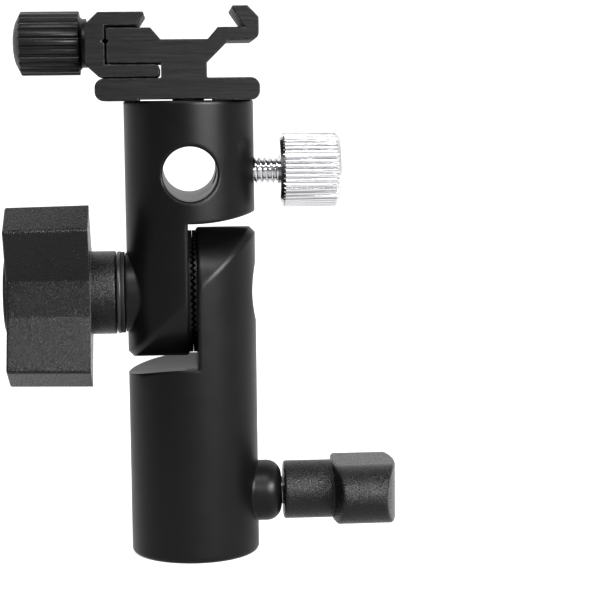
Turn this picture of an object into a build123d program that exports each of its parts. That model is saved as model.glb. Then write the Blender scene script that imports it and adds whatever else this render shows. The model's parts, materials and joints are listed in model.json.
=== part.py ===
from build123d import *
import math
import os

# Umbrella swivel bracket, in millimetres.
# The origin is the centre of the stud socket's mouth, on the bottom face.
# +Z is up the bracket, +X points to the two clamp screws, +Y to the back.

# --- driving dimensions ---------------------------------------------------

# round bodies
BODY_R = 13.0
EDGE_R = 0.7
PIVOT_Z = 53.5
EAR_TO_FLOOR = 16.3
SCOOP_R = 45.0
RIDGE_REACH = 17.6
LOWER_EAR_X = 1.0
UPPER_EAR_X = -0.6
HEAD_TOP_Z = 91.95
HEAD_TOP_ROUND = 0.4
BOTTOM_ROUND = 1.0

# stud socket and its lock screw
SOCKET_R = 8.1
SOCKET_DEPTH = 35.0
SOCKET_CHAMFER = 0.5
SOCKET_TIP_R = 1.0
LOCK_Z = 12.0
LOCK_BOSS_R = 6.2
LOCK_BOSS_X = 17.7
LOCK_BOSS_ROUND = 3.0
LOCK_SCREW_R = 3.0
LOCK_PAD_R = 2.4
LOCK_PAD_LENGTH = 1.6
LOCK_STEM_R = 5.95
LOCK_STEM_X = 18.2
LOCK_STEM_ROUND = 0.5
LOCK_CAP_X = 28.0
LOCK_CAP_END_X = 41.2
LOCK_WING_LENGTH = 24.4
LOCK_WING_WIDTH = 12.0
LOCK_WING_ROUND = 0.7
LOCK_WING_INNER_BOW_R = 50.0
LOCK_WING_OUTER_BOW_R = 27.0
LOCK_SET = 3.0

# tilt joint
BOLT_R = 2.5
BOLT_HEAD_FLATS = 8.0
BOLT_HEAD_X = 12.0
BOLT_HEAD_HEIGHT = 3.5
BOLT_END_X = -29.0
BOLT_CHAMFER = 0.5
POCKET_FLATS = 8.2
POCKET_MOUTH_R = 6.2
POCKET_MOUTH_DEPTH = 1.1
ROSETTE_R = 12.35
ROSETTE_BORE_R = 8.4
ROSETTE_SEAT = 0.6
TOOTH_COUNT = 60
TOOTH_DEPTH = 0.65
TOOTH_RISE = 0.75
TOOTH_OVERCUT = 0.3
TOOTH_NEAR_R = 0.4
SPRING_R = 3.7
SPRING_WIRE_R = 0.4
SPRING_WELL_R = 4.6
SPRING_WELL_DEPTH = 3.2
SPRING_TURNS = 4
SPRING_PLAY = 0.02
EAR_BOSS_R = 8.0
EAR_BOSS_X = -13.25
WASHER_R = 8.2
WASHER_X = -13.45
WASHER_END_X = -14.0

# tilt knob
INSERT_FLANGE_R = 8.3
INSERT_X = -14.05
INSERT_FLANGE_END_X = -14.95
INSERT_BARREL_R = 5.2
INSERT_ROUND = 0.3
INSERT_END_X = -30.0
BOLT_RELIEF = 3.0
HUB_R = 8.4
HUB_X = -15.15
HUB_END_X = -20.1
GRIP_END_X = -36.65
GRIP_BOSS_R = 8.0
GRIP_BOSS_X = -37.35
GRIP_BOSS_ROUND = 0.5
LOBE_TIP = 18.8
LOBE_TIP_HALF = 4.35
LOBE_VALLEY = 8.8
LOBE_VALLEY_HALF = 3.65
LOBE_TURN = 31.6
LOBE_ROUND = 0.7
GRIP_DRAFT = 0.35

# umbrella hole and its thumbscrew
HOLE_Z = 78.1
HOLE_R = 5.4
HOLE_CHAMFER = 0.4
HOLE_TILT = 2.1
THUMB_Z = 77.8
THUMB_R = 2.7
THUMB_PAD_X = 5.6
THUMB_PAD_LENGTH = 1.4
THUMB_HEAD_X = 18.15
THUMB_HEAD_END_X = 30.25
THUMB_HEAD_R = 7.5
THUMB_CHAMFER = 0.9

# shoe
SHOE_Z = 91.95
SHOE_DEPTH = 22.0
RELIEF_LEFT_X = -9.8
RELIEF_RIGHT_X = 5.0
RELIEF_DEPTH = 0.3
PLATE_ROUND = 1.8
NOTCH_ROUND = 0.3
SHOE_LEFT_X = -18.2
SHOE_RIGHT_X = 13.95
BASE_TOP_Z = 96.35
SLOT_TOP_Z = 99.3
CLAMP_Z = 103.5
LEDGE_Z = 106.1
TROUGH_Z = 103.8
STUD_R = 3.175
STUD_BOTTOM_Z = 84.2
STUD_TOP_Z = 102.6
KEY_FLATS = 3.2
KEY_DEPTH = 3.0
SHOE_EDGE = 0.15
WEB_LEFT_X = -5.25
WEB_RIGHT_X = 3.65
BLOCK_LEFT_X = -15.8
LEDGE_LEFT_X = -7.2
LEDGE_RIGHT_X = 5.9
TROUGH_RIGHT_X = 3.9
HOOK_ROOT_X = 8.0
HOOK_THROAT_X = 11.2
HOOK_LIP_X = 8.4
HOOK_CREST_X = 11.7
HOOK_RIGHT_X = 13.85
HOOK_ROUND = 1.4
HOOK_BOTTOM_Z = 103.6
HOOK_SHOULDER_Z = 108.0
HOOK_TOP_Z = 110.2
CENTRE_MARK = 0.5
JAW_LEFT_X = -19.9
JAW_CUT_X = -17.3
JAW_CUT_HEIGHT = 2.4
JAW_WALL_X = -16.1
JAW_LIP_ROOT_X = -9.9
JAW_LIP_X = -8.2
JAW_ARM_X = -5.55
JAW_ARM_ROUND = 0.9
JAW_BOTTOM_Z = 96.6
JAW_ARM_TOP_Z = 99.05
JAW_GRIP_Z = 106.55
JAW_TOP_Z = 109.15
CLAMP_SCREW_R = 1.5
CLAMP_SCREW_X = -7.0
CLAMP_SCREW_SET = 8.0
CLAMP_SPRING_R = 1.85
CLAMP_SPRING_WIRE_R = 0.2
CLAMP_SPRING_TURNS = 5
CLAMP_WELL_R = 2.15
CLAMP_WELL_X = -11.6
SHOE_KNOB_R = 6.35
SHOE_KNOB_X = -21.3
SHOE_KNOB_END_X = -34.6
SHOE_KNOB_DOME = 1.1
SHOE_KNOB_RIM = 1.2
SHOE_NECK_R = 4.85
SHOE_NECK_FLARE = 0.7

# clearances
RUN = 0.05
LOOSE = 0.1


# --- helpers --------------------------------------------------------------

def rod_x(radius, x_start, x_end, z):
    """A round rod along X between two x positions, at height z."""
    length = abs(x_end - x_start)
    return Pos((x_start + x_end) / 2, 0, z) * Rot(0, 90, 0) * Cylinder(radius, length)


def hex_x(flats, x_start, x_end, z):
    """A hexagonal bar along X, measured across its flats, with a flat on top."""
    outline = RegularPolygon(flats / 2, 6, major_radius=False)
    bar = extrude(outline, abs(x_end - x_start))
    return Pos(min(x_start, x_end), 0, z) * Rot(0, 90, 0) * bar


def turned_x(profile, z):
    """A solid of revolution about the X line at height z, from (x, radius) points."""
    outline = make_face(Polyline(*profile, close=True))
    return Pos(0, 0, z) * revolve(outline, Axis.X)


def extrusion_y(corners, depth, edge):
    """A length of extruded bar along Y, centred on y = 0, its two cut ends chamfered.

    corners is a list of (x, z, corner radius).
    """
    face = make_face(Polyline(*[(x, z) for x, z, radius in corners], close=True))
    for wanted in sorted({radius for x, z, radius in corners if radius > 0}):
        spots = [Vector(x, z) for x, z, radius in corners if radius == wanted]
        picked = []
        for vertex in face.vertices():
            if min((Vector(vertex) - spot).length for spot in spots) < 0.001:
                picked.append(vertex)
        face = fillet(picked, wanted)
    bar = Rot(90, 0, 0) * extrude(face, depth / 2, both=True)
    ends = bar.faces().sort_by(Axis.Y)
    return chamfer(ends[0].edges() + ends[-1].edges(), edge)


def coil_x(radius, wire_r, x_start, x_end, turns, z):
    """A coil spring along X whose end turns lie between two x positions."""
    length = x_end - x_start - 2 * wire_r
    path = Helix(pitch=length / turns, height=length, radius=radius)
    section = Plane(path @ 0, z_dir=path % 0) * Circle(wire_r)
    return Pos(x_start + wire_r, 0, z) * Rot(0, 90, 0) * sweep(section, path)


# --- round bodies ---------------------------------------------------------

def ear(face_x, outer_x, end_sign):
    """An ear: half of a round bar, its end rounded about the pivot line.

    A third cut takes the sharpness off the ridge between the end and the bar.
    end_sign is +1 for an ear that ends above the pivot and -1 for one below it.
    """
    thickness = abs(outer_x - face_x)
    root = Pos(0, -end_sign * BODY_R, 0) * Rectangle(2 * BODY_R, 2 * BODY_R)
    outline = Circle(BODY_R) + root
    slab = Plane.YZ * extrude(outline, thickness)
    inner_side = 0 if outer_x > face_x else -1
    slab = fillet(slab.faces().sort_by(Axis.X)[inner_side].edges(), EDGE_R)
    slab = Pos(min(face_x, outer_x), 0, PIVOT_Z) * slab
    bar = Pos(0, 0, PIVOT_Z - end_sign * BODY_R / 2) * Cylinder(BODY_R, 3 * BODY_R)
    across = Plane(origin=(0, 0, PIVOT_Z), x_dir=(end_sign, 0, end_sign), z_dir=(-1, 0, 1))
    root = Pos(-2 * BODY_R, 0) * Rectangle(4 * BODY_R, 2 * BODY_R + 2)
    softened = across * extrude(Ellipse(RIDGE_REACH, BODY_R) + root, 3 * BODY_R, both=True)
    return slab & bar & softened


def scooped_bar(z_end, scoop_z, scoop_sign):
    """The full round bar on one side of the shallow scoop that faces the other ear."""
    length = abs(scoop_z - z_end) + 5
    bar = Pos(0, 0, z_end - scoop_sign * length / 2) * Cylinder(BODY_R, length)
    scoop = rod_x(SCOOP_R, -BODY_R - 1, BODY_R + 1, scoop_z - scoop_sign * SCOOP_R)
    return bar - scoop


def base_body():
    """Lower body: stud socket, lock boss, and the ear that holds the bolt head."""
    body = scooped_bar(0, PIVOT_Z - EAR_TO_FLOOR, -1)
    body = body + ear(LOWER_EAR_X, BODY_R + 1, 1)
    boss = rod_x(LOCK_BOSS_R, 0, LOCK_BOSS_X, LOCK_Z)
    boss = fillet(boss.edges().sort_by(Axis.X)[-1], LOCK_BOSS_ROUND)
    body = body + boss
    body = fillet(body.edges().filter_by(GeomType.CIRCLE).sort_by(Axis.Z)[0], BOTTOM_ROUND)

    socket = Pos(0, 0, SOCKET_DEPTH / 2) * Cylinder(SOCKET_R, SOCKET_DEPTH)
    cone_height = SOCKET_R / 4
    tip = Pos(0, 0, SOCKET_DEPTH + cone_height / 2) * Cone(SOCKET_R, SOCKET_TIP_R, cone_height)
    mouth = Pos(0, 0, SOCKET_CHAMFER / 2) * Cone(SOCKET_R + SOCKET_CHAMFER, SOCKET_R, SOCKET_CHAMFER)
    body = body - socket - tip - mouth
    body = body - rod_x(LOCK_SCREW_R + RUN, SOCKET_R - 1, LOCK_BOSS_X + 1, LOCK_Z)

    body = body - rod_x(BOLT_R + RUN, LOWER_EAR_X - 1, BODY_R + 1, PIVOT_Z)
    pocket_x = BOLT_HEAD_X - BOLT_HEAD_HEIGHT
    body = body - hex_x(POCKET_FLATS, pocket_x, BODY_R + 1, PIVOT_Z)
    floor_x = BODY_R - POCKET_MOUTH_DEPTH
    slope = (POCKET_MOUTH_R - POCKET_FLATS / 2) / POCKET_MOUTH_DEPTH
    wide_r = POCKET_MOUTH_R + slope
    dish = [(BODY_R + 1, 0), (BODY_R + 1, wide_r), (floor_x, POCKET_FLATS / 2), (floor_x, 0)]
    body = body - turned_x(dish, PIVOT_Z)
    body = body - rod_x(ROSETTE_R + RUN, LOWER_EAR_X - 1, LOWER_EAR_X + ROSETTE_SEAT, PIVOT_Z)
    well_x = LOWER_EAR_X + SPRING_WELL_DEPTH
    return body - rod_x(SPRING_WELL_R, LOWER_EAR_X - 1, well_x, PIVOT_Z)


def head_body():
    """Upper body: the ear behind the knob, the shoe's seat and the umbrella hole.

    The umbrella hole rises a little towards the back.
    """
    body = scooped_bar(HEAD_TOP_Z, PIVOT_Z + EAR_TO_FLOOR, 1)
    body = body + ear(UPPER_EAR_X, -BODY_R - 1, -1)
    body = body + rod_x(EAR_BOSS_R, -5, EAR_BOSS_X, PIVOT_Z)
    top = body.faces().sort_by(Axis.Z)[-1]
    body = fillet(top.edges(), HEAD_TOP_ROUND)

    hole = Pos(0, 0, HOLE_Z) * Rot(90 + HOLE_TILT, 0, 0) * Cylinder(HOLE_R, 2 * BODY_R + 4)
    body = body - hole
    rims = body.edges().filter_by(lambda edge: abs(edge.bounding_box().size.X - 2 * HOLE_R) < 0.1)
    body = chamfer(rims, HOLE_CHAMFER)
    body = body - rod_x(THUMB_R + RUN, 0, BODY_R + 1, THUMB_Z)
    stud_depth = HEAD_TOP_Z + 1 - STUD_BOTTOM_Z
    body = body - Pos(0, 0, STUD_BOTTOM_Z + stud_depth / 2) * Cylinder(STUD_R, stud_depth)

    body = body - rod_x(BOLT_R + LOOSE, UPPER_EAR_X + 1, EAR_BOSS_X - 1, PIVOT_Z)
    body = body - rod_x(ROSETTE_R + RUN, UPPER_EAR_X + 1, UPPER_EAR_X - ROSETTE_SEAT, PIVOT_Z)
    well_x = UPPER_EAR_X - SPRING_WELL_DEPTH
    return body - rod_x(SPRING_WELL_R, UPPER_EAR_X + 1, well_x, PIVOT_Z)


# --- tilt joint -----------------------------------------------------------

def rosette(seat_x, face_sign, half_pitch_turns):
    """A ring of radial teeth. Tooth depth and width shrink towards the centre."""
    tip_x = seat_x + face_sign * (ROSETTE_SEAT + TOOTH_RISE)
    ring = rod_x(ROSETTE_R, seat_x, tip_x, PIVOT_Z)
    ring = ring - rod_x(ROSETTE_BORE_R, seat_x - 2, seat_x + 2, PIVOT_Z)
    sections = []
    for reach in (TOOTH_NEAR_R, ROSETTE_R + 1):
        depth = TOOTH_DEPTH * reach / ROSETTE_R
        above = depth * TOOTH_OVERCUT
        half_width = math.pi * reach / TOOTH_COUNT * (1 + TOOTH_OVERCUT)
        sections.append(make_face(Polyline(
            (tip_x + face_sign * above, -half_width, reach),
            (tip_x + face_sign * above, half_width, reach),
            (tip_x - face_sign * depth, 0, reach),
            close=True,
        )))
    groove = loft(sections)
    pitch = 360 / TOOTH_COUNT
    grooves = []
    for index in range(TOOTH_COUNT):
        angle = pitch * (index + half_pitch_turns / 2)
        grooves.append(Pos(0, 0, PIVOT_Z) * Rot(angle, 0, 0) * groove)
    return ring - grooves


def tilt_bolt():
    """Hex-head bolt: its head sits in the lower ear's pocket."""
    head_x = BOLT_HEAD_X - BOLT_HEAD_HEIGHT
    head = hex_x(BOLT_HEAD_FLATS, head_x, BOLT_HEAD_X, PIVOT_Z)
    shank = rod_x(BOLT_R, head_x, BOLT_END_X, PIVOT_Z)
    shank = chamfer(shank.edges().sort_by(Axis.X)[0], BOLT_CHAMFER)
    return head + shank


def tilt_spring():
    """Separator spring in the wells of both ears, round the bolt."""
    x_start = UPPER_EAR_X - SPRING_WELL_DEPTH + SPRING_PLAY
    x_end = LOWER_EAR_X + SPRING_WELL_DEPTH - SPRING_PLAY
    return coil_x(SPRING_R, SPRING_WIRE_R, x_start, x_end, SPRING_TURNS, PIVOT_Z)


def tilt_washer():
    ring = rod_x(WASHER_R, WASHER_X, WASHER_END_X, PIVOT_Z)
    return ring - rod_x(BOLT_R + LOOSE, WASHER_X + 1, WASHER_END_X - 1, PIVOT_Z)


def tilt_knob_insert():
    """Flanged threaded bush moulded into the tilt knob."""
    flange = rod_x(INSERT_FLANGE_R, INSERT_X, INSERT_FLANGE_END_X, PIVOT_Z)
    flange = fillet(flange.edges().filter_by(GeomType.CIRCLE), INSERT_ROUND)
    bush = flange + rod_x(INSERT_BARREL_R, INSERT_X - INSERT_ROUND, INSERT_END_X, PIVOT_Z)
    return bush - rod_x(BOLT_R + RUN, INSERT_X + 1, INSERT_END_X - 1, PIVOT_Z)


def lobe_outline(shrink):
    """Three-lobed outline: flat lobe tips joined to flat valleys."""
    corners = []
    for lobe in range(3):
        for turn, reach, half in ((0, LOBE_TIP, LOBE_TIP_HALF), (60, LOBE_VALLEY, LOBE_VALLEY_HALF)):
            angle = math.radians(120 * lobe + turn)
            for side in (-half, half):
                across = reach - shrink
                corners.append((
                    across * math.cos(angle) - side * math.sin(angle),
                    across * math.sin(angle) + side * math.cos(angle),
                ))
    return Polyline(*corners, close=True)


def tilt_knob():
    """Three-lobed grip between a round hub and a low end boss, with a little draft."""
    length = HUB_END_X - GRIP_END_X
    inner_face = make_face(lobe_outline(0))
    outer_face = Pos(0, 0, length) * make_face(lobe_outline(GRIP_DRAFT))
    grip = loft([inner_face, outer_face])
    sides = grip.edges().filter_by(lambda edge: abs(edge.tangent_at(0.5).Z) > 0.9)
    grip = fillet(sides, LOBE_ROUND)
    grip = fillet(grip.faces().sort_by(Axis.Z)[-1].edges(), LOBE_ROUND - 0.2)
    grip = Pos(HUB_END_X, 0, PIVOT_Z) * Rot(LOBE_TURN, 0, 0) * Rot(0, -90, 0) * grip
    hub = rod_x(HUB_R, HUB_X, HUB_END_X - 1, PIVOT_Z)
    hub = fillet(hub.edges().sort_by(Axis.X)[-1], INSERT_ROUND)
    boss = rod_x(GRIP_BOSS_R, GRIP_END_X + 2, GRIP_BOSS_X, PIVOT_Z)
    boss = fillet(boss.edges().sort_by(Axis.X)[0], GRIP_BOSS_ROUND)
    knob = grip + hub + boss
    knob = knob - rod_x(INSERT_BARREL_R, HUB_X + 1, INSERT_END_X, PIVOT_Z)
    return knob - rod_x(BOLT_R + LOOSE, INSERT_END_X, INSERT_END_X - BOLT_RELIEF, PIVOT_Z)


# --- clamp screws ---------------------------------------------------------

def umbrella_screw():
    """Thumbscrew for the umbrella shaft: threaded shank and round gripped head."""
    head = rod_x(THUMB_HEAD_R, THUMB_HEAD_X, THUMB_HEAD_END_X, THUMB_Z)
    head = chamfer(head.edges().filter_by(GeomType.CIRCLE), THUMB_CHAMFER)
    shank = rod_x(THUMB_R, THUMB_PAD_X + THUMB_PAD_LENGTH, THUMB_HEAD_X + 1, THUMB_Z)
    return head + shank


def umbrella_screw_pad():
    """Soft pad on the thumbscrew's tip. It slides in the hole without turning."""
    return rod_x(THUMB_R - LOOSE, THUMB_PAD_X, THUMB_PAD_X + THUMB_PAD_LENGTH, THUMB_Z)


def stud_lock_screw():
    """Threaded stud moulded into the lock knob."""
    x_start = SOCKET_R + LOOSE + LOCK_PAD_LENGTH
    return rod_x(LOCK_SCREW_R, x_start, LOCK_CAP_X + LOCK_SET, LOCK_Z)


def stud_lock_pad():
    """Brass pad on the lock screw's tip, just clear of the socket at rest."""
    x_start = SOCKET_R + LOOSE
    return rod_x(LOCK_PAD_R, x_start, x_start + LOCK_PAD_LENGTH, LOCK_Z)


def stud_lock_knob():
    """Round stem with a level wing across it, its two long sides bowed outwards."""
    stem = rod_x(LOCK_STEM_R, LOCK_STEM_X, LOCK_CAP_X + 2, LOCK_Z)
    stem = fillet(stem.edges().sort_by(Axis.X)[0], LOCK_STEM_ROUND)
    inner_bow = Pos(LOCK_CAP_X + LOCK_WING_INNER_BOW_R, 0) * Circle(LOCK_WING_INNER_BOW_R)
    outer_bow = Pos(LOCK_CAP_END_X - LOCK_WING_OUTER_BOW_R, 0) * Circle(LOCK_WING_OUTER_BOW_R)
    barrel = extrude(inner_bow & outer_bow, LOCK_WING_WIDTH, both=True)
    end_view = Plane.YZ * extrude(SlotOverall(LOCK_WING_LENGTH, LOCK_WING_WIDTH), LOCK_CAP_END_X)
    wing = end_view & barrel
    wing = Pos(0, 0, LOCK_Z) * fillet(wing.edges(), LOCK_WING_ROUND)
    knob = stem + wing
    return knob - rod_x(LOCK_SCREW_R, LOCK_STEM_X - 1, LOCK_CAP_X + LOCK_SET, LOCK_Z)


# --- shoe -----------------------------------------------------------------

def shoe_base():
    """Extruded shoe: base plate, web, left block and the fixed hook on the right."""
    relief_z = SHOE_Z + RELIEF_DEPTH
    corners = [
        (SHOE_LEFT_X, SHOE_Z, PLATE_ROUND), (RELIEF_LEFT_X, SHOE_Z, 0),
        (RELIEF_LEFT_X, relief_z, 0), (RELIEF_RIGHT_X, relief_z, 0),
        (RELIEF_RIGHT_X, SHOE_Z, 0), (SHOE_RIGHT_X, SHOE_Z, PLATE_ROUND),
        (SHOE_RIGHT_X, BASE_TOP_Z, PLATE_ROUND), (WEB_RIGHT_X, BASE_TOP_Z, NOTCH_ROUND),
        (WEB_RIGHT_X, SLOT_TOP_Z, NOTCH_ROUND), (HOOK_ROOT_X, HOOK_BOTTOM_Z, NOTCH_ROUND),
        (HOOK_RIGHT_X, HOOK_BOTTOM_Z, HOOK_ROUND), (HOOK_RIGHT_X, HOOK_SHOULDER_Z, NOTCH_ROUND),
        (HOOK_CREST_X, HOOK_TOP_Z, NOTCH_ROUND), (HOOK_LIP_X, HOOK_TOP_Z, NOTCH_ROUND),
        (HOOK_THROAT_X, LEDGE_Z, 0), (LEDGE_RIGHT_X, LEDGE_Z, NOTCH_ROUND),
        (TROUGH_RIGHT_X, TROUGH_Z, NOTCH_ROUND), (WEB_LEFT_X, TROUGH_Z, NOTCH_ROUND),
        (LEDGE_LEFT_X, LEDGE_Z, NOTCH_ROUND), (BLOCK_LEFT_X, LEDGE_Z, 2 * NOTCH_ROUND),
        (BLOCK_LEFT_X, CLAMP_Z + CENTRE_MARK, 0), (BLOCK_LEFT_X + CENTRE_MARK, CLAMP_Z, 0),
        (BLOCK_LEFT_X, CLAMP_Z - CENTRE_MARK, 0), (BLOCK_LEFT_X, SLOT_TOP_Z, NOTCH_ROUND),
        (WEB_LEFT_X, SLOT_TOP_Z, NOTCH_ROUND), (WEB_LEFT_X, BASE_TOP_Z, NOTCH_ROUND),
        (SHOE_LEFT_X, BASE_TOP_Z, PLATE_ROUND),
    ]
    shoe = extrusion_y(corners, SHOE_DEPTH, SHOE_EDGE)
    hole_height = TROUGH_Z - SHOE_Z + 2
    shoe = shoe - Pos(0, 0, (TROUGH_Z + SHOE_Z) / 2) * Cylinder(STUD_R, hole_height)
    outside_x = BLOCK_LEFT_X - 1
    shoe = shoe - rod_x(CLAMP_SCREW_R + RUN, outside_x, CLAMP_SCREW_X + 2 * LOOSE, CLAMP_Z)
    return shoe - rod_x(CLAMP_WELL_R, outside_x, CLAMP_WELL_X, CLAMP_Z)


def shoe_jaw():
    """C-shaped jaw that slides along X round the shoe's left block."""
    corners = [
        (JAW_CUT_X, JAW_TOP_Z, NOTCH_ROUND), (JAW_LEFT_X, JAW_TOP_Z - JAW_CUT_HEIGHT, NOTCH_ROUND),
        (JAW_LEFT_X, JAW_BOTTOM_Z + JAW_CUT_HEIGHT, NOTCH_ROUND), (JAW_CUT_X, JAW_BOTTOM_Z, NOTCH_ROUND),
        (JAW_ARM_X, JAW_BOTTOM_Z, JAW_ARM_ROUND), (JAW_ARM_X, JAW_ARM_TOP_Z, JAW_ARM_ROUND),
        (JAW_WALL_X, JAW_ARM_TOP_Z, 0), (JAW_WALL_X, CLAMP_Z - CENTRE_MARK, 0),
        (JAW_WALL_X - CENTRE_MARK, CLAMP_Z, 0), (JAW_WALL_X, CLAMP_Z + CENTRE_MARK, 0),
        (JAW_WALL_X, JAW_GRIP_Z, 0), (JAW_LIP_ROOT_X, JAW_GRIP_Z, 0),
        (JAW_LIP_X, JAW_TOP_Z, NOTCH_ROUND),
    ]
    jaw = extrusion_y(corners, SHOE_DEPTH, SHOE_EDGE)
    return jaw - rod_x(CLAMP_SCREW_R + LOOSE, JAW_LEFT_X - 1, JAW_WALL_X + 1, CLAMP_Z)


def shoe_stud():
    """Headless stud that joins the shoe to the upper body."""
    height = STUD_TOP_Z - STUD_BOTTOM_Z
    stud = Pos(0, 0, STUD_BOTTOM_Z + height / 2) * Cylinder(STUD_R, height)
    key = extrude(RegularPolygon(KEY_FLATS / 2, 6, major_radius=False), KEY_DEPTH)
    return stud - Pos(0, 0, STUD_TOP_Z - KEY_DEPTH) * key


def shoe_clamp_screw():
    """Screw moulded into the shoe knob and threaded into the shoe's block."""
    return rod_x(CLAMP_SCREW_R, CLAMP_SCREW_X, SHOE_KNOB_X - CLAMP_SCREW_SET, CLAMP_Z)


def shoe_jaw_spring():
    """Light spring round the clamp screw that pushes the jaw open."""
    x_start = JAW_WALL_X + SPRING_PLAY
    x_end = CLAMP_WELL_X - SPRING_PLAY
    return coil_x(CLAMP_SPRING_R, CLAMP_SPRING_WIRE_R, x_start, x_end, CLAMP_SPRING_TURNS, CLAMP_Z)


def shoe_knob():
    """Round ribbed knob with a domed end and a short neck against the jaw."""
    neck_x = JAW_LEFT_X - LOOSE
    dome_x = SHOE_KNOB_END_X + SHOE_KNOB_DOME
    rim_r = SHOE_KNOB_R - SHOE_KNOB_RIM
    outline = make_face(
        Polyline(
            (dome_x, rim_r), (dome_x + SHOE_KNOB_RIM / 2, SHOE_KNOB_R), (SHOE_KNOB_X, SHOE_KNOB_R),
            (SHOE_KNOB_X, SHOE_NECK_R + SHOE_NECK_FLARE), (neck_x - SHOE_NECK_FLARE, SHOE_NECK_R),
            (neck_x, SHOE_NECK_R), (neck_x, 0), (SHOE_KNOB_END_X, 0),
        )
        + TangentArc((SHOE_KNOB_END_X, 0), (dome_x, rim_r), tangent=(0, 1))
    )
    knob = Pos(0, 0, CLAMP_Z) * revolve(outline, Axis.X)
    return knob - rod_x(CLAMP_SCREW_R, neck_x + 1, SHOE_KNOB_X - CLAMP_SCREW_SET, CLAMP_Z)


# --- write one file per piece ---------------------------------------------

def main():
    pieces = {
        "base_body": base_body(),
        "lower_rosette": rosette(LOWER_EAR_X + ROSETTE_SEAT, -1, 0),
        "tilt_bolt": tilt_bolt(),
        "tilt_spring": tilt_spring(),
        "tilt_washer": tilt_washer(),
        "tilt_knob": tilt_knob(),
        "tilt_knob_insert": tilt_knob_insert(),
        "upper_rosette": rosette(UPPER_EAR_X - ROSETTE_SEAT, 1, 1),
        "head_body": head_body(),
        "umbrella_screw": umbrella_screw(),
        "umbrella_screw_pad": umbrella_screw_pad(),
        "stud_lock_screw": stud_lock_screw(),
        "stud_lock_pad": stud_lock_pad(),
        "stud_lock_knob": stud_lock_knob(),
        "shoe_base": shoe_base(),
        "shoe_jaw": shoe_jaw(),
        "shoe_stud": shoe_stud(),
        "shoe_clamp_screw": shoe_clamp_screw(),
        "shoe_jaw_spring": shoe_jaw_spring(),
        "shoe_knob": shoe_knob(),
    }
    os.makedirs("parts", exist_ok=True)
    for node, shape in pieces.items():
        export_step(shape, f"parts/{node}.step")


main()
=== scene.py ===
import json
import math

import bmesh
import bpy
from mathutils import Matrix, Vector


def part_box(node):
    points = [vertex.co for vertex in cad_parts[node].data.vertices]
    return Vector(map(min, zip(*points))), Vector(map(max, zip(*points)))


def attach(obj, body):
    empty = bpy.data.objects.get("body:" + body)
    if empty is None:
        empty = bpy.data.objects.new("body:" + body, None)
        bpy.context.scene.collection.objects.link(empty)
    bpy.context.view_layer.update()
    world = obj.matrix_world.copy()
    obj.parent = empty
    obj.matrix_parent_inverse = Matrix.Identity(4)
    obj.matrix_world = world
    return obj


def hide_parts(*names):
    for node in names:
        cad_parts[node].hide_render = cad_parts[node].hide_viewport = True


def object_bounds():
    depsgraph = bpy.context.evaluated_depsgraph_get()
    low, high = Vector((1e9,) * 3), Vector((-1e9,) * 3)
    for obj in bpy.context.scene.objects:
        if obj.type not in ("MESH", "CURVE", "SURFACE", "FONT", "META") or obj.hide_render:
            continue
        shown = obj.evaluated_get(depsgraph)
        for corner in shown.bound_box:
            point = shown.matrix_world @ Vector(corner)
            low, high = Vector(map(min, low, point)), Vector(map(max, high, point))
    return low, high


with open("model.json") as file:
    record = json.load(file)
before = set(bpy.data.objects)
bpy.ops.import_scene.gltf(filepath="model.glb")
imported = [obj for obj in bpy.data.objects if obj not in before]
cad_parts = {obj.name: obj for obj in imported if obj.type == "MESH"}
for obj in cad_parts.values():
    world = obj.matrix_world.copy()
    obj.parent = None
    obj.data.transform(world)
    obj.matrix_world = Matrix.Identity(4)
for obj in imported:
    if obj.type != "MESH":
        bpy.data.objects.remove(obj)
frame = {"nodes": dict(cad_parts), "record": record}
cad_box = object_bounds()

MM = 0.001
RECORD = frame["record"]

# sockets of the Mix node: its colour inputs and output, and its number inputs and output
MIX_COLOURS = (6, 7)
MIX_COLOUR = 2
MIX_NUMBERS = (2, 3)
MIX_NUMBER = 0

# the shader's own specular level, and rays taken for each rounded edge
PLAIN_SPECULAR = 0.5
BEVEL_SAMPLES = 8

# faces smoothed below these angles, in degrees
THREAD_SMOOTH = 40
KNURL_SMOOTH = 24
RIB_SMOOTH = 32
BACKDROP_SMOOTH = 60

# vee thread: the flat at its crest and root, and where one pitch is sampled
THREAD_FLAT = 0.14
THREAD_PHASES = (0.0, 0.14, 0.3, 0.43, 0.57, 0.7, 0.86, 1.0)
THREAD_STEPS = 56

# how far each point of one rib falls below its crest, as a share of the depth
KNURL_PROFILE = (0.0, 0.03, 0.10, 0.22, 0.50, 1.0, 1.0, 0.50, 0.22, 0.10, 0.03)
RIB_PROFILE = (0.0, 0.0, 0.03, 0.12, 0.55, 0.92, 1.0, 0.92, 0.55, 0.12, 0.03, 0.0)


# --- materials ------------------------------------------------------------

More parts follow.
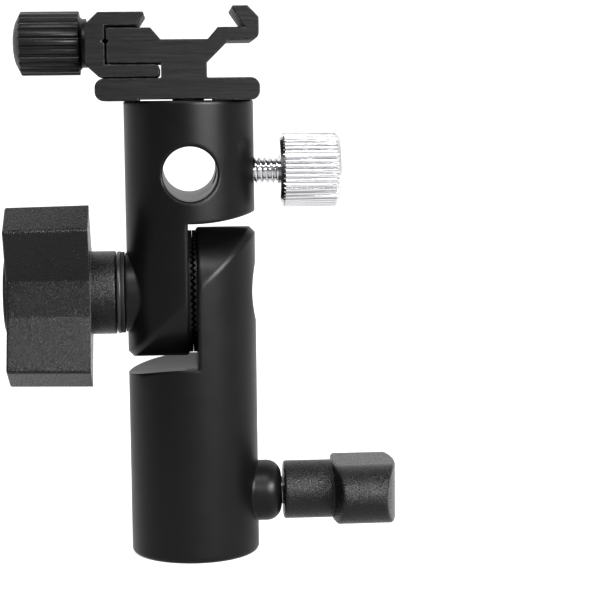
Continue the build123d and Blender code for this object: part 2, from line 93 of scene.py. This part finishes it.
class Nodes:
    """A short way to write a node material."""

    def __init__(self, name):
        self.material = bpy.data.materials.new(name)
        self.material.use_nodes = True
        self.tree = self.material.node_tree
        self.shader = self.tree.nodes["Principled BSDF"]

    def set(self, **values):
        """Plain numbers and colours go straight on the shader's own sockets."""
        for name, value in values.items():
            self.shader.inputs[name.replace("_", " ")].default_value = value

    def add(self, kind, **settings):
        node = self.tree.nodes.new(kind)
        for name, value in settings.items():
            setattr(node, name, value)
        return node

    def link(self, source, target):
        self.tree.links.new(source, target)

    def coordinates(self, scale=(1, 1, 1)):
        """Object coordinates, in metres times a scale for each axis."""
        place = self.add("ShaderNodeTexCoord")
        mapping = self.add("ShaderNodeMapping")
        mapping.inputs["Scale"].default_value = scale
        self.link(place.outputs["Object"], mapping.inputs["Vector"])
        return mapping.outputs["Vector"]

    def noise(self, vector, scale, detail, roughness=0.55):
        """Noise of 0..1 with a scale in waves per metre."""
        node = self.add("ShaderNodeTexNoise")
        node.inputs["Scale"].default_value = scale
        node.inputs["Detail"].default_value = detail
        node.inputs["Roughness"].default_value = roughness
        self.link(vector, node.inputs["Vector"])
        return node.outputs["Fac"]

    def ramp(self, value, low, high, start, end):
        """The value's range low..high mapped onto start..end."""
        node = self.add("ShaderNodeMapRange")
        node.inputs["From Min"].default_value = low
        node.inputs["From Max"].default_value = high
        node.inputs["To Min"].default_value = start
        node.inputs["To Max"].default_value = end
        self.link(value, node.inputs["Value"])
        return node.outputs["Result"]

    def math(self, operation, first, second):
        node = self.add("ShaderNodeMath", operation=operation)
        for socket, value in zip(node.inputs, (first, second)):
            if isinstance(value, (int, float)):
                socket.default_value = value
            else:
                self.link(value, socket)
        return node.outputs["Value"]

    def mix(self, factor, first, second):
        """A colour between two colours; the first can be a link."""
        node = self.add("ShaderNodeMix", data_type="RGBA")
        self.link(factor, node.inputs["Factor"])
        for index, colour in zip(MIX_COLOURS, (first, second)):
            if isinstance(colour, tuple):
                node.inputs[index].default_value = (*colour, 1)
            else:
                self.link(colour, node.inputs[index])
        return node.outputs[MIX_COLOUR]

    def choose(self, factor, first, second):
        """The first number where the factor is 0 and the second where it is 1."""
        node = self.add("ShaderNodeMix", data_type="FLOAT")
        self.link(factor, node.inputs["Factor"])
        for index, number in zip(MIX_NUMBERS, (first, second)):
            self.link(number, node.inputs[index])
        return node.outputs[MIX_NUMBER]

    def surface(self, colour, roughness, specular):
        """The shader's colour and roughness from links, and its specular level."""
        self.link(colour, self.shader.inputs["Base Color"])
        self.link(roughness, self.shader.inputs["Roughness"])
        self.set(Specular_IOR_Level=specular)

    def bump(self, height, distance, strength, rounded=None):
        """Bump from a height over a distance in metres, on top of a rounded normal if given."""
        node = self.add("ShaderNodeBump")
        node.inputs["Strength"].default_value = strength
        node.inputs["Distance"].default_value = distance
        self.link(height, node.inputs["Height"])
        if rounded is not None:
            self.link(rounded, node.inputs["Normal"])
        self.link(node.outputs["Normal"], self.shader.inputs["Normal"])

    def rounded_edges(self, radius):
        """The normal of edges worn round by a small radius, in metres."""
        node = self.add("ShaderNodeBevel", samples=BEVEL_SAMPLES)
        node.inputs["Radius"].default_value = radius
        return node.outputs["Normal"]

    # a mask of edges: pale worn edges on the extrusion, and a painted edge highlight on the
    # grained plastic
    def edge_wear_and_sheen(self, radius):
        """0 on flat stretches and towards 1 at edges."""
        geometry = self.add("ShaderNodeNewGeometry")
        dot = self.add("ShaderNodeVectorMath", operation="DOT_PRODUCT")
        self.link(self.rounded_edges(radius), dot.inputs[0])
        self.link(geometry.outputs["Normal"], dot.inputs[1])
        return self.ramp(dot.outputs["Value"], 0.98, 0.8, 0.0, 1.0)


def satin_black_coat():
    """Smooth satin coat on the round bodies."""
    m = Nodes("satin_black_coat")
    where = m.coordinates()
    speckle = m.noise(where, 9000, detail=2)
    cloud = m.noise(where, 120, detail=3)
    colour = m.mix(cloud, (0.003, 0.003, 0.0032), (0.005, 0.005, 0.0053))
    m.surface(colour, m.ramp(cloud, 0.3, 0.7, 0.33, 0.39), 0.23)
    m.bump(speckle, 0.000016, 0.5, m.rounded_edges(0.0009))
    return m.material


def anodised_extrusion():
    """Matte black extrusion: wavy saw marks on its cut ends, draw lines along the rest."""
    m = Nodes("anodised_extrusion")
    where = m.coordinates()
    wave = m.noise(where, 90, detail=2)
    wave_height = 0.0013
    lift = m.add("ShaderNodeCombineXYZ")
    m.link(m.math("MULTIPLY", wave, wave_height), lift.inputs["Z"])
    bent = m.add("ShaderNodeVectorMath", operation="MULTIPLY_ADD")
    m.link(where, bent.inputs[0])
    bent.inputs[1].default_value = (0.045, 1, 1)
    m.link(lift.outputs["Vector"], bent.inputs[2])
    saw_marks = m.noise(bent.outputs["Vector"], 2500, detail=4, roughness=0.7)
    draw_lines = m.noise(m.coordinates((1, 0.02, 1)), 4200, detail=4, roughness=0.7)

    facing = m.add("ShaderNodeTexCoord")
    split = m.add("ShaderNodeSeparateXYZ")
    m.link(facing.outputs["Normal"], split.inputs["Vector"])
    cut_end = m.ramp(m.math("ABSOLUTE", split.outputs["Y"], 0), 0.8, 0.95, 0.0, 1.0)
    height = m.choose(cut_end, draw_lines, saw_marks)

    grit = m.noise(where, 5200, detail=2)
    marked = m.math("ADD", height, m.math("MULTIPLY", grit, 0.35))
    shade = m.ramp(marked, 0.45, 0.90, 0.0, 1.0)
    dark = m.mix(shade, (0.001, 0.001, 0.0011), (0.013, 0.013, 0.0133))
    broken = m.ramp(m.noise(where, 1100, detail=4), 0.40, 0.58, 0.0, 0.8)
    pale_edge = m.math("MULTIPLY", m.edge_wear_and_sheen(0.00022), broken)
    colour = m.mix(pale_edge, dark, (0.30, 0.30, 0.31))
    m.surface(colour, m.ramp(shade, 0.0, 1.0, 0.55, 0.42), 0.19)
    m.bump(height, 0.00006, 0.9, m.rounded_edges(0.00012))
    return m.material


def grained_plastic(name, grain_scale, grain_depth, rough):
    """Black plastic with the fine spark-eroded grain of its mould, and a painted highlight that
    lightens its edges.
    """
    m = Nodes(name)
    where = m.coordinates()
    grain = m.noise(where, grain_scale, detail=3, roughness=0.7)
    fine = m.noise(where, grain_scale * 2.4, detail=1)
    cloud = m.noise(where, 180, detail=2)
    base = m.mix(cloud, (0.002, 0.002, 0.0022), (0.005, 0.005, 0.0053))
    # painted highlight: the colour is lightened along every edge, standing in for light caught
    # by the rounded edges
    edge_highlight = m.math("MULTIPLY", m.edge_wear_and_sheen(0.00025), 0.30)
    colour = m.mix(edge_highlight, base, (0.20, 0.20, 0.205))
    m.surface(colour, m.ramp(grain, 0.35, 0.65, rough + 0.06, rough - 0.06), 0.35)
    height = m.math("ADD", grain, m.math("MULTIPLY", fine, 0.5))
    m.bump(height, grain_depth, 1.0, m.rounded_edges(0.00025))
    return m.material


def ribbed_plastic():
    """Satin black plastic of the small knob, streaked along its ribs."""
    m = Nodes("ribbed_plastic")
    streak = m.noise(m.coordinates((0.12, 1, 1)), 3000, detail=3)
    grit = m.noise(m.coordinates(), 3800, detail=2)
    shade = m.ramp(m.math("ADD", streak, grit), 0.8, 1.2, 0.0, 1.0)
    colour = m.mix(shade, (0.003, 0.003, 0.0033), (0.011, 0.011, 0.0115))
    m.surface(colour, m.ramp(shade, 0.0, 1.0, 0.44, 0.30), 0.32)
    m.bump(m.math("ADD", streak, m.math("MULTIPLY", grit, 0.6)), 0.00005, 0.8)
    return m.material


def toothed_black():
    """Dark blackened steel of the toothed rings, with a faint sheen."""
    m = Nodes("toothed_black")
    grit = m.noise(m.coordinates(), 3000, detail=3)
    colour = m.mix(grit, (0.003, 0.003, 0.0032), (0.009, 0.009, 0.0095))
    m.surface(colour, m.ramp(grit, 0.3, 0.7, 0.24, 0.38), 0.12)
    m.bump(grit, 0.00002, 0.6)
    return m.material


def bright_plate():
    """Bright nickel plate, a little hazy in patches."""
    m = Nodes("bright_plate")
    haze = m.noise(m.coordinates((0.3, 1, 1)), 700, detail=4)
    grit = m.noise(m.coordinates(), 5000, detail=2)
    m.set(Metallic=1.0)
    colour = m.mix(haze, (0.58, 0.58, 0.59), (0.70, 0.70, 0.71))
    m.surface(colour, m.ramp(haze, 0.3, 0.7, 0.13, 0.17), PLAIN_SPECULAR)
    m.bump(grit, 0.000001, 0.4)
    return m.material


def worked_metal(name, dark, light, rough, metallic=1.0):
    """Plain worked metal with turning marks and uneven finish."""
    m = Nodes(name)
    marks = m.noise(m.coordinates((1, 0.15, 0.15)), 5200, detail=4)
    haze = m.noise(m.coordinates(), 420, detail=3)
    m.set(Metallic=metallic)
    roughness = m.ramp(marks, 0.3, 0.7, rough - 0.05, rough + 0.07)
    m.surface(m.mix(haze, dark, light), roughness, PLAIN_SPECULAR)
    m.bump(marks, 0.00001, 0.5, m.rounded_edges(0.0001))
    return m.material


def moulded_pad():
    """Pale nylon of the thumbscrew's soft tip."""
    m = Nodes("moulded_pad")
    cloud = m.noise(m.coordinates(), 900, detail=3)
    colour = m.mix(cloud, (0.62, 0.60, 0.55), (0.74, 0.73, 0.68))
    m.surface(colour, m.ramp(cloud, 0.3, 0.7, 0.42, 0.55), PLAIN_SPECULAR)
    m.set(Subsurface_Weight=0.08)
    m.bump(cloud, 0.00002, 0.4)
    return m.material


def backdrop_white():
    """White sweep with its own even glow, dimmer on the front side."""
    m = Nodes("backdrop_white")
    split = m.add("ShaderNodeSeparateXYZ")
    m.link(m.coordinates(), split.inputs["Vector"])
    front_y, back_y = -0.25, 0.02
    front_glow, back_glow = 0.12, 0.86
    glow = m.ramp(split.outputs["Y"], front_y, back_y, front_glow, back_glow)
    m.link(glow, m.shader.inputs["Emission Strength"])
    m.set(Base_Color=(0.30, 0.30, 0.30, 1), Emission_Color=(1, 1, 1, 1))
    m.set(Roughness=0.9, Specular_IOR_Level=0.1)
    return m.material


# --- mesh building --------------------------------------------------------

def mesh_object(name, bm, smooth_angle):
    """A new object from a bmesh, with faces smoothed below an angle in degrees."""
    bmesh.ops.recalc_face_normals(bm, faces=bm.faces)
    mesh = bpy.data.meshes.new(name)
    bm.to_mesh(mesh)
    bm.free()
    piece = bpy.data.objects.new(name, mesh)
    bpy.context.scene.collection.objects.link(piece)
    for polygon in mesh.polygons:
        polygon.use_smooth = True
    mesh.set_sharp_from_angle(angle=math.radians(smooth_angle))
    return piece


def section_ring(bm, x, centre_z, radii):
    """One closed ring of vertices about the X line at centre_z."""
    count = len(radii)
    ring = []
    for index, radius in enumerate(radii):
        angle = 2 * math.pi * index / count
        point = (x, radius * math.cos(angle), centre_z + radius * math.sin(angle))
        ring.append(bm.verts.new(point))
    return ring


def skin_rings(bm, rings):
    """Faces between neighbouring rings of equal length."""
    for first, second in zip(rings, rings[1:]):
        count = len(first)
        for index in range(count):
            after = (index + 1) % count
            bm.faces.new((first[index], first[after], second[after], second[index]))


def cap_ring(bm, ring, x, centre_z):
    """A fan that closes a ring at one end."""
    middle = bm.verts.new((x, 0, centre_z))
    for index in range(len(ring)):
        bm.faces.new((ring[index], ring[(index + 1) % len(ring)], middle))


def thread_height(phase, crest_r, depth):
    """Radius of a vee thread at a phase of 0..1 along one pitch."""
    distance = abs(phase - 0.5) * 2
    rise = (1 - distance - THREAD_FLAT) / (1 - 2 * THREAD_FLAT)
    return crest_r - depth * (1 - min(max(rise, 0.0), 1.0))


def add_thread(bm, crest_r, pitch, depth, x_start, x_end, centre_z):
    """A right-hand thread along X, with cut ends."""
    turns = math.ceil((x_end - x_start) / pitch) + 2
    rows = []
    for step in range(turns * THREAD_STEPS + 1):
        angle = 2 * math.pi * step / THREAD_STEPS
        base_x = x_start - pitch + pitch * step / THREAD_STEPS
        row = []
        for phase in THREAD_PHASES:
            radius = thread_height(phase, crest_r, depth)
            y = radius * math.cos(angle)
            z = centre_z + radius * math.sin(angle)
            row.append(bm.verts.new((base_x + pitch * phase, y, z)))
        rows.append(row)
    for first, second in zip(rows, rows[1:]):
        for index in range(len(THREAD_PHASES) - 1):
            bm.faces.new((first[index], first[index + 1], second[index + 1], second[index]))
    bmesh.ops.remove_doubles(bm, verts=bm.verts, dist=pitch * 0.001)
    for x, normal in ((x_start, -1), (x_end, 1)):
        geometry = bm.verts[:] + bm.edges[:] + bm.faces[:]
        cut = bmesh.ops.bisect_plane(
            bm, geom=geometry, dist=1e-9, plane_co=(x, 0, centre_z),
            plane_no=(normal, 0, 0), clear_outer=True,
        )
        rim = [item for item in cut["geom_cut"] if isinstance(item, bmesh.types.BMEdge)]
        bmesh.ops.contextual_create(bm, geom=rim)


def threaded_rod(name, node, pitch, depth):
    """A thread mesh over a plain round CAD node that lies along X."""
    low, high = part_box(node)
    centre_z = (low[2] + high[2]) / 2
    crest_r = (high[2] - low[2]) / 2
    bm = bmesh.new()
    add_thread(bm, crest_r, pitch, depth, low[0], high[0], centre_z)
    return mesh_object(name, bm, THREAD_SMOOTH)


def ribbed_radii(profile, ribs, crest_r, depth, limit):
    """Radii round a straight knurl or grip of one repeated profile, none above a limit."""
    one_rib = [min(crest_r - depth * fall, limit) for fall in profile]
    return one_rib * ribs


def umbrella_thumbscrew():
    """Bright thumbscrew: knurled head with turned chamfers and a coarse thread."""
    low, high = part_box("umbrella_screw")
    centre_z = (low[2] + high[2]) / 2
    head_r = (high[2] - low[2]) / 2
    head_length = 12.1 * MM
    chamfer = 0.9 * MM
    knurl_depth = 0.38 * MM
    ribs = 46
    # the share of the chamfer's length at which it reaches the knurl's roots
    root_share = 0.62
    start = high[0] - head_length
    end = high[0]
    step = chamfer * root_share
    sections = (
        (start, head_r - chamfer),
        (start + step, head_r - knurl_depth),
        (start + chamfer, head_r),
        (end - chamfer, head_r),
        (end - step, head_r - knurl_depth),
        (end, head_r - chamfer),
    )
    bm = bmesh.new()
    rings = []
    for x, limit in sections:
        radii = ribbed_radii(KNURL_PROFILE, ribs, head_r, knurl_depth, limit)
        rings.append(section_ring(bm, x, centre_z, radii))
    skin_rings(bm, rings)
    count = len(rings[0])

    # shallow recess round the thread on the inner face, and a dish in the outer face
    recess_mouth_r, recess_floor_r, recess_depth = 3.4 * MM, 3.1 * MM, 0.5 * MM
    mouth = section_ring(bm, start, centre_z, [recess_mouth_r] * count)
    recess = section_ring(bm, start + recess_depth, centre_z, [recess_floor_r] * count)
    skin_rings(bm, [rings[0], mouth])
    skin_rings(bm, [mouth, recess])
    cap_ring(bm, recess, start + recess_depth, centre_z)
    face_r = head_r - chamfer
    dish_inset, dish_floor_inset, dish_depth = 0.9 * MM, 1.3 * MM, 0.25 * MM
    rim = section_ring(bm, end, centre_z, [face_r - dish_inset] * count)
    dish = section_ring(bm, end - dish_depth, centre_z, [face_r - dish_floor_inset] * count)
    skin_rings(bm, [rings[-1], rim])
    skin_rings(bm, [rim, dish])
    cap_ring(bm, dish, end - dish_depth, centre_z)
    head = mesh_object("umbrella_thumbscrew_head", bm, KNURL_SMOOTH)

    shank_r, pitch, thread_depth, overlap = 2.7 * MM, 1.058 * MM, 0.60 * MM, 0.8 * MM
    bm = bmesh.new()
    add_thread(bm, shank_r, pitch, thread_depth, low[0], start + overlap, centre_z)
    shank = mesh_object("umbrella_thumbscrew_thread", bm, THREAD_SMOOTH)
    for piece in (head, shank):
        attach(piece, "umbrella_thumbscrew")
        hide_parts("umbrella_screw")
        piece.data.materials.append(MATERIALS["chrome"])


def shoe_clamp_knob():
    """Small round knob: coarse straight ribs, a domed end and a short flared neck."""
    low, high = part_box("shoe_knob")
    centre_z = (low[2] + high[2]) / 2
    crest_r = (high[2] - low[2]) / 2
    ribs = 22
    depth = 0.55 * MM
    count = ribs * len(RIB_PROFILE)
    left = low[0]
    dome = 1.1 * MM
    rim = 1.2 * MM
    dome_r = crest_r - rim
    dome_bow = 0.92
    neck_r = 4.85 * MM
    neck_flare = 0.7 * MM
    neck_length = 1.4 * MM
    shoulder = 0.15 * MM
    body_start = left + dome
    body_end = high[0] - neck_length
    shoulder_r = crest_r - depth - shoulder

    rings = []
    for share in (0.2, 0.4, 0.6, 0.8, 1.0):
        rise = 1 - math.sqrt(1 - (share * dome_bow) ** 2)
        full_rise = 1 - math.sqrt(1 - dome_bow ** 2)
        rings.append((left + dome * rise / full_rise, [dome_r * share] * count))
    # where each ribbed section stands and how far its ribs are cut back
    ribbed = (
        (body_start + 0.35 * MM, 0.5 * MM),
        (body_start + 0.6 * MM, 0.08 * MM),
        (body_start + 0.75 * MM, 0.0),
        (body_end - 0.15 * MM, 0.0),
        (body_end, 0.1 * MM),
    )
    for x, cut_back in ribbed:
        rings.append((x, ribbed_radii(RIB_PROFILE, ribs, crest_r, depth, crest_r - cut_back)))
    rings.append((body_end, [shoulder_r] * count))
    for share in (0.25, 0.5, 0.75, 1.0):
        radius = neck_r + (shoulder_r - neck_r) * (1 - share) ** 2
        rings.append((body_end + neck_flare * share, [radius] * count))
    rings.append((high[0], [neck_r] * count))

    bm = bmesh.new()
    made = [section_ring(bm, x, centre_z, radii) for x, radii in rings]
    skin_rings(bm, made)
    cap_ring(bm, made[0], left, centre_z)
    cap_ring(bm, made[-1], high[0], centre_z)
    piece = mesh_object("shoe_knob_grip", bm, RIB_SMOOTH)
    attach(piece, "shoe_grip")
    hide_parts("shoe_knob")
    piece.data.materials.append(MATERIALS["shoe_knob_plastic"])


def lock_screw_thread():
    """The stud lock's screw, with a 1 mm pitch."""
    piece = threaded_rod("stud_lock_thread", "stud_lock_screw", 1.0 * MM, 0.5 * MM)
    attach(piece, "lock_grip")
    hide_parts("stud_lock_screw")
    piece.data.materials.append(MATERIALS["screw_steel"])


def clamp_screw_thread():
    """The shoe's clamp screw, with a fine 0.5 mm pitch."""
    piece = threaded_rod("shoe_clamp_thread", "shoe_clamp_screw", 0.5 * MM, 0.26 * MM)
    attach(piece, "shoe_grip")
    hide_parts("shoe_clamp_screw")
    piece.data.materials.append(MATERIALS["screw_steel"])


# --- scene ----------------------------------------------------------------

def build_stage():
    """A round white floor that curves up into a wall on every side."""
    floor_z = cad_box[0][2]
    wall_r = 1.3
    wall_top_z = 1.7
    bend = 0.45
    bend_steps = 12
    sides = 96
    flat_radii = (0.02, 0.2, 0.5, wall_r - bend)
    outline = [(radius, floor_z) for radius in flat_radii]
    for step in range(1, bend_steps + 1):
        angle = math.pi / 2 * step / bend_steps
        radius = wall_r - bend + bend * math.sin(angle)
        outline.append((radius, floor_z + bend * (1 - math.cos(angle))))
    outline.append((wall_r, wall_top_z))
    bm = bmesh.new()
    rings = []
    for radius, z in outline:
        ring = []
        for index in range(sides):
            angle = 2 * math.pi * index / sides
            ring.append(bm.verts.new((radius * math.cos(angle), radius * math.sin(angle), z)))
        rings.append(ring)
    skin_rings(bm, rings)
    bm.faces.new(rings[0])
    backdrop = mesh_object("backdrop", bm, BACKDROP_SMOOTH)
    backdrop.data.materials.append(backdrop_white())


def soft_light(name, place, target, size, power):
    """A rectangular softbox that faces a target and stays out of the picture."""
    data = bpy.data.lights.new(name, "AREA")
    data.shape = "RECTANGLE"
    data.size = size[0]
    data.size_y = size[1]
    data.energy = power
    light = bpy.data.objects.new(name, data)
    light.location = place
    direction = Vector(target) - Vector(place)
    light.rotation_euler = direction.to_track_quat("-Z", "Y").to_euler()
    light.visible_camera = False
    bpy.context.scene.collection.objects.link(light)


def studio_world():
    """A dim room that is bright overhead and dark at the height of the camera."""
    fade_start, fade_end = 0.35, 0.95
    dark_strength, bright_strength = 0.015, 0.35
    world = bpy.data.worlds.new("studio")
    world.use_nodes = True
    tree = world.node_tree
    background = tree.nodes["Background"]
    background.inputs["Color"].default_value = (1, 1, 1, 1)
    place = tree.nodes.new("ShaderNodeTexCoord")
    split = tree.nodes.new("ShaderNodeSeparateXYZ")
    tree.links.new(place.outputs["Generated"], split.inputs["Vector"])
    fade = tree.nodes.new("ShaderNodeMapRange")
    fade.interpolation_type = "SMOOTHSTEP"
    fade.inputs["From Min"].default_value = fade_start
    fade.inputs["From Max"].default_value = fade_end
    fade.inputs["To Min"].default_value = dark_strength
    fade.inputs["To Max"].default_value = bright_strength
    tree.links.new(split.outputs["Z"], fade.inputs["Value"])
    tree.links.new(fade.outputs["Result"], background.inputs["Strength"])
    return world


def build_lights():
    """A wide softbox right of the camera, soft light from above, and a dim room."""
    middle = (0, 0, 0.055)
    soft_light("key_right", (0.35, -0.54, 0.26), middle, (0.44, 0.11), 12.5)
    soft_light("top_front", (-0.06, -0.33, 0.50), middle, (0.3, 0.12), 2.3)
    soft_light("overhead", (0.0, 0.65, 0.90), (0, 0.40, 0), (1.2, 0.8), 4.0)
    bpy.context.scene.world = studio_world()
    bpy.context.scene.view_settings.view_transform = "Standard"
    bpy.context.scene.view_settings.gamma = 0.8


def build_camera():
    """A long lens in front of the bracket, a little above its middle."""
    yaw = 0.0693
    pitch = 0.1099
    roll = -0.0111
    place = Vector((-0.0030, -0.36106, 0.09116))
    ahead = math.cos(pitch)
    forward = Vector((math.sin(yaw) * ahead, math.cos(yaw) * ahead, -math.sin(pitch)))
    level = Vector((math.cos(yaw), -math.sin(yaw), 0))
    upright = level.cross(forward)
    right = level * math.cos(roll) + upright * math.sin(roll)
    up = upright * math.cos(roll) - level * math.sin(roll)
    data = bpy.data.cameras.new("camera")
    data.sensor_width = 36.0
    data.lens = 106.97
    data.clip_start = 0.01
    camera = bpy.data.objects.new("camera", data)
    turn = Matrix((right, up, -forward)).transposed().to_4x4()
    camera.matrix_world = Matrix.Translation(place) @ turn
    bpy.context.scene.collection.objects.link(camera)
    bpy.context.scene.camera = camera


MATERIALS = {
    "body_black": satin_black_coat(),
    "shoe_black": anodised_extrusion(),
    "rosette_black": toothed_black(),
    "dark_steel": worked_metal(
        "black_oxide_steel", (0.018, 0.018, 0.019), (0.04, 0.04, 0.042), 0.36, metallic=0.4,
    ),
    "spring_steel": worked_metal("spring_wire", (0.42, 0.42, 0.42), (0.55, 0.55, 0.55), 0.3),
    "washer_black": grained_plastic("dull_washer", 3800, 0.00002, 0.6),
    "knob_plastic": grained_plastic("knob_plastic", 2700, 0.00013, 0.27),
    "insert_black": worked_metal(
        "satin_insert", (0.008, 0.008, 0.0085), (0.016, 0.016, 0.0165), 0.38, metallic=0.0,
    ),
    "chrome": bright_plate(),
    "pad_nylon": moulded_pad(),
    "pad_brass": worked_metal("turned_brass", (0.60, 0.42, 0.18), (0.72, 0.54, 0.26), 0.3),
    "screw_steel": worked_metal("zinc_steel", (0.42, 0.42, 0.43), (0.56, 0.56, 0.57), 0.32),
    "shoe_knob_plastic": ribbed_plastic(),
}


def dress_cad_nodes():
    """Every CAD node gets the finish of its material slot."""
    slots = {part["node"]: part["material_slot"] for part in RECORD["subparts"]}
    for node, piece in frame["nodes"].items():
        material = MATERIALS[slots[node]]
        if not piece.data.materials:
            piece.data.materials.append(material)
        for index in range(len(piece.material_slots)):
            piece.material_slots[index].material = material


dress_cad_nodes()
umbrella_thumbscrew()
shoe_clamp_knob()
lock_screw_thread()
clamp_screw_thread()
build_stage()
build_lights()
build_camera()
